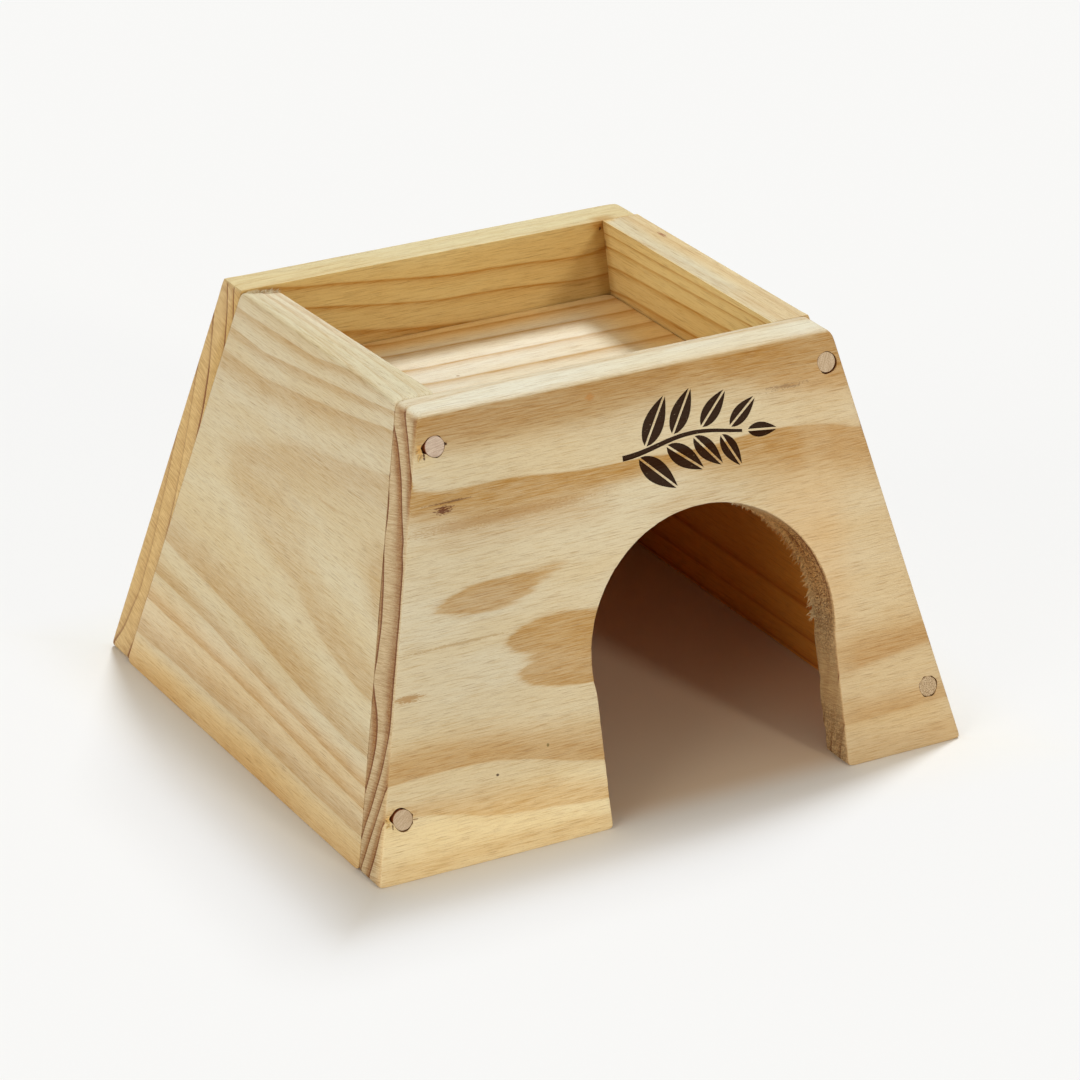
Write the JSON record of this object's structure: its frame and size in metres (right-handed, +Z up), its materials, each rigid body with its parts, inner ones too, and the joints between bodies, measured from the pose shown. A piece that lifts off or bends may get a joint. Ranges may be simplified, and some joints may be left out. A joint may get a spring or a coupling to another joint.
{
  "type": "wooden hamster house",
  "caption": "Pine board hideout for a hamster: walls leaning inward, an arched doorway in the front and an open tray with a sunk floor on top, its corners held by dowel pegs.",
  "frame": {"origin": "middle of the rectangle that the house stands on, at floor level", "axes": "+X to the right along the front wall, +Y from the front wall to the back wall, +Z up"},
  "size_m": [0.19, 0.18, 0.1235],
  "materials": {
    "pine": "bare sanded pine, pale with tan growth bands",
    "dowel": "bare end grain of hardwood dowel, greyish"
  },
  "bodies": {
    "root": {"front_panel": "pine", "back_panel": "pine", "left_side_panel": "pine", "right_side_panel": "pine", "roof_panel": "pine", "peg_front_upper_left": "dowel", "peg_front_lower_left": "dowel", "peg_front_upper_right": "dowel", "peg_front_lower_right": "dowel", "peg_back_upper_left": "dowel", "peg_back_lower_left": "dowel", "peg_back_upper_right": "dowel", "peg_back_lower_right": "dowel"}
  },
  "joints": []
}
